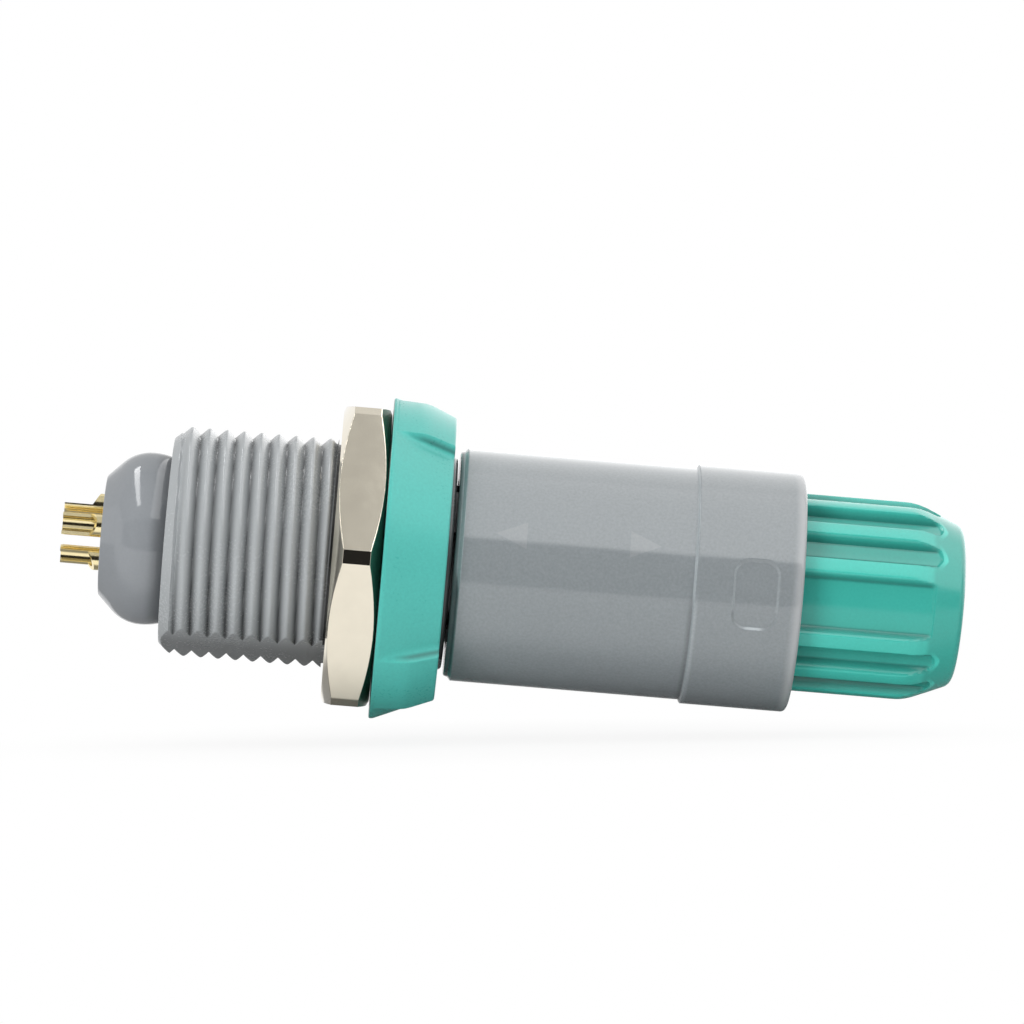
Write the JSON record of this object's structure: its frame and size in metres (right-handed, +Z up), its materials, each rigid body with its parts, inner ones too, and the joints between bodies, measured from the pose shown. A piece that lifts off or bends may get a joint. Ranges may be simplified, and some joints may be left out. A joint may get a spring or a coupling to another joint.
{
  "type": "push-pull circular connector pair",
  "caption": "Mated circular connector: a threaded panel receptacle with solder cups, hexagon nut and lugged ring, and a push-pull cable plug with a sliding sleeve and a ribbed collet nut.",
  "frame": {"origin": "on the connector's axis, at the rear face of the front ring, where it seats on the panel", "axes": "+X along the axis from the solder cups to the cable entry, +Z up as in the picture"},
  "size_m": [0.0548, 0.0203, 0.0196],
  "materials": {
    "shell_grey": "moulded, satin",
    "sleeve_grey": "fine moulded grain",
    "boss_grey": "moulded, glossy",
    "insulator_dark": "moulded",
    "ivory_plastic": "moulded",
    "ring_green": "moulded, satin",
    "nut_green": "moulded, satin",
    "nickel_plate": "bright nickel plate on brass",
    "gold_plate": "gold plate"
  },
  "bodies": {
    "receptacle": {"receptacle_shell": "shell_grey", "socket_insulator": "insulator_dark", "rear_insulator": "boss_grey", "socket_contact_1": "gold_plate", "socket_contact_2": "gold_plate", "socket_contact_3": "gold_plate", "socket_contact_4": "gold_plate", "socket_contact_5": "gold_plate"},
    "ring": {"ring_nut": "ring_green"},
    "nut": {"hex_nut": "nickel_plate"},
    "plug": {"plug_body": "shell_grey", "latch_sleeve": "shell_grey", "pin_insulator": "insulator_dark", "carrier_half_upper": "ivory_plastic", "carrier_half_lower": "ivory_plastic", "pin_contact_1": "gold_plate", "pin_contact_2": "gold_plate", "pin_contact_3": "gold_plate", "pin_contact_4": "gold_plate", "pin_contact_5": "gold_plate", "collet": "ivory_plastic"},
    "sleeve": {"outer_sleeve": "sleeve_grey"},
    "cable_nut": {"collet_nut": "nut_green"}
  },
  "joints": [
    {"name": "plug_pull", "type": "slide", "parent": "receptacle", "child": "plug", "axis": [1, 0, 0], "range_m": [0, 0.013]},
    {"name": "sleeve_release", "type": "slide", "parent": "plug", "child": "sleeve", "axis": [1, 0, 0], "range_m": [0, 0.0015], "stiffness_N_per_m": 400},
    {"name": "ring_turn", "type": "hinge", "parent": "receptacle", "child": "ring", "pos_m": [0, 0, 0], "axis": [1, 0, 0], "continuous": true},
    {"name": "nut_turn", "type": "hinge", "parent": "receptacle", "child": "nut", "pos_m": [-0.0015, 0, 0], "axis": [1, 0, 0], "continuous": true},
    {"name": "cable_nut_turn", "type": "hinge", "parent": "plug", "child": "cable_nut", "pos_m": [0.02, 0, 0], "axis": [1, 0, 0], "continuous": true}
  ]
}
